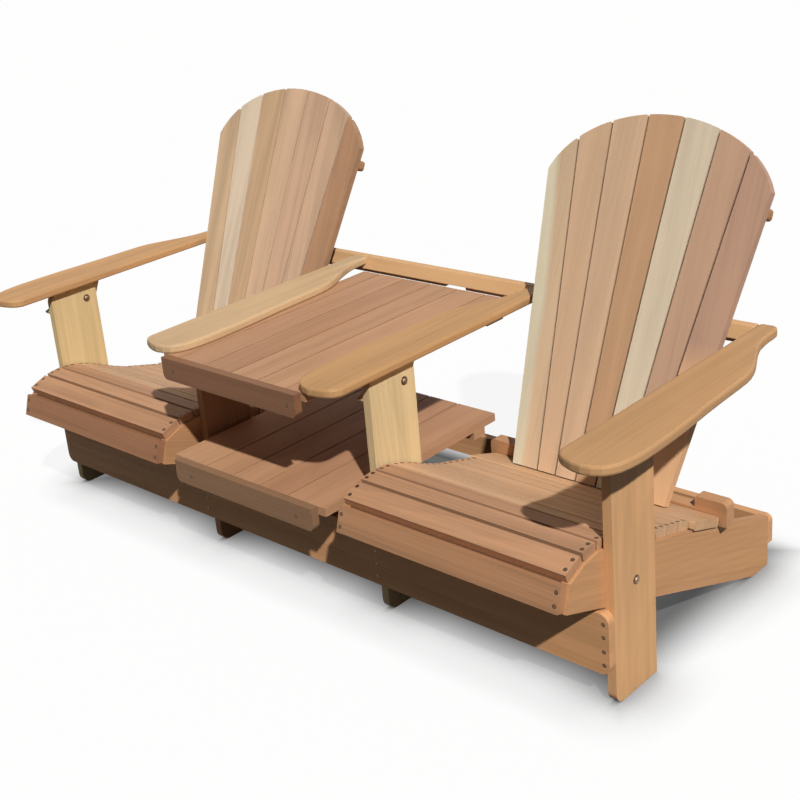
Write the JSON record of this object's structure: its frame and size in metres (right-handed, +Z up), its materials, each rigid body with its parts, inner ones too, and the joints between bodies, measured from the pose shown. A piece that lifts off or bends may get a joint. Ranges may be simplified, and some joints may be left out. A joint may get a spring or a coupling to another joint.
{
  "type": "adirondack loveseat",
  "caption": "Cedar garden loveseat with fan-shaped slatted backs, scooped slat seats and broad arms, joined by a slatted table and a lower shelf.",
  "frame": {"origin": "middle of the footprint, on the floor", "axes": "+X along the seat, to the right as the front is looked at; the front faces -Y; +Z up"},
  "size_m": [1.906, 0.85, 0.9651],
  "materials": {
    "cedar_leg": "smooth sanded cedar, satin",
    "cedar_stringer": "smooth sanded cedar, satin",
    "cedar_arm": "smooth sanded cedar, satin",
    "cedar_apron": "smooth sanded cedar, satin",
    "cedar_seat": "smooth sanded cedar, satin",
    "cedar_nose": "smooth sanded cedar, satin",
    "cedar_table": "smooth sanded cedar, satin",
    "cedar_shelf": "smooth sanded cedar, satin",
    "cedar_back_1": "smooth sanded cedar, satin",
    "cedar_back_2": "smooth sanded cedar, satin",
    "cedar_back_3": "smooth sanded cedar, satin",
    "cedar_back_4": "smooth sanded cedar, satin",
    "cedar_back_5": "smooth sanded cedar, satin",
    "cedar_back_6": "smooth sanded cedar, satin",
    "cedar_back_7": "smooth sanded cedar, satin"
  },
  "bodies": {
    "root": {"arm_rail": "cedar_arm", "front_apron": "cedar_apron", "left_back_slat_1": "cedar_back_1", "left_back_slat_2": "cedar_back_2", "left_back_slat_3": "cedar_back_3", "left_back_slat_4": "cedar_back_4", "left_back_slat_5": "cedar_back_5", "left_back_slat_6": "cedar_back_6", "left_back_slat_7": "cedar_back_7", "left_foot_board": "cedar_seat", "left_foot_rail": "cedar_stringer", "left_inner_arm": "cedar_arm", "left_inner_leg": "cedar_leg", "left_inner_stringer": "cedar_stringer", "left_outer_arm": "cedar_arm", "left_outer_leg": "cedar_leg", "left_outer_stringer": "cedar_stringer", "left_seat_slat_1": "cedar_nose", "left_seat_slat_2": "cedar_seat", "left_seat_slat_3": "cedar_seat", "left_seat_slat_4": "cedar_seat", "left_seat_slat_5": "cedar_seat", "left_seat_slat_6": "cedar_seat", "left_upper_brace": "cedar_arm", "rear_stretcher": "cedar_stringer", "right_back_slat_1": "cedar_back_1", "right_back_slat_2": "cedar_back_2", "right_back_slat_3": "cedar_back_3", "right_back_slat_4": "cedar_back_4", "right_back_slat_5": "cedar_back_5", "right_back_slat_6": "cedar_back_6", "right_back_slat_7": "cedar_back_7", "right_foot_board": "cedar_seat", "right_foot_rail": "cedar_stringer", "right_inner_arm": "cedar_arm", "right_inner_leg": "cedar_leg", "right_inner_stringer": "cedar_stringer", "right_outer_arm": "cedar_arm", "right_outer_leg": "cedar_leg", "right_outer_stringer": "cedar_stringer", "right_seat_slat_1": "cedar_nose", "right_seat_slat_2": "cedar_seat", "right_seat_slat_3": "cedar_seat", "right_seat_slat_4": "cedar_seat", "right_seat_slat_5": "cedar_seat", "right_seat_slat_6": "cedar_seat", "right_upper_brace": "cedar_arm", "shelf_apron": "cedar_nose", "shelf_board_1": "cedar_shelf", "shelf_board_2": "cedar_shelf", "shelf_board_3": "cedar_shelf", "shelf_board_4": "cedar_shelf", "shelf_board_5": "cedar_shelf", "table_apron": "cedar_nose", "table_board_1": "cedar_table", "table_board_2": "cedar_table", "table_board_3": "cedar_table", "table_board_4": "cedar_table", "table_board_5": "cedar_table", "table_board_6": "cedar_table"}
  },
  "joints": []
}
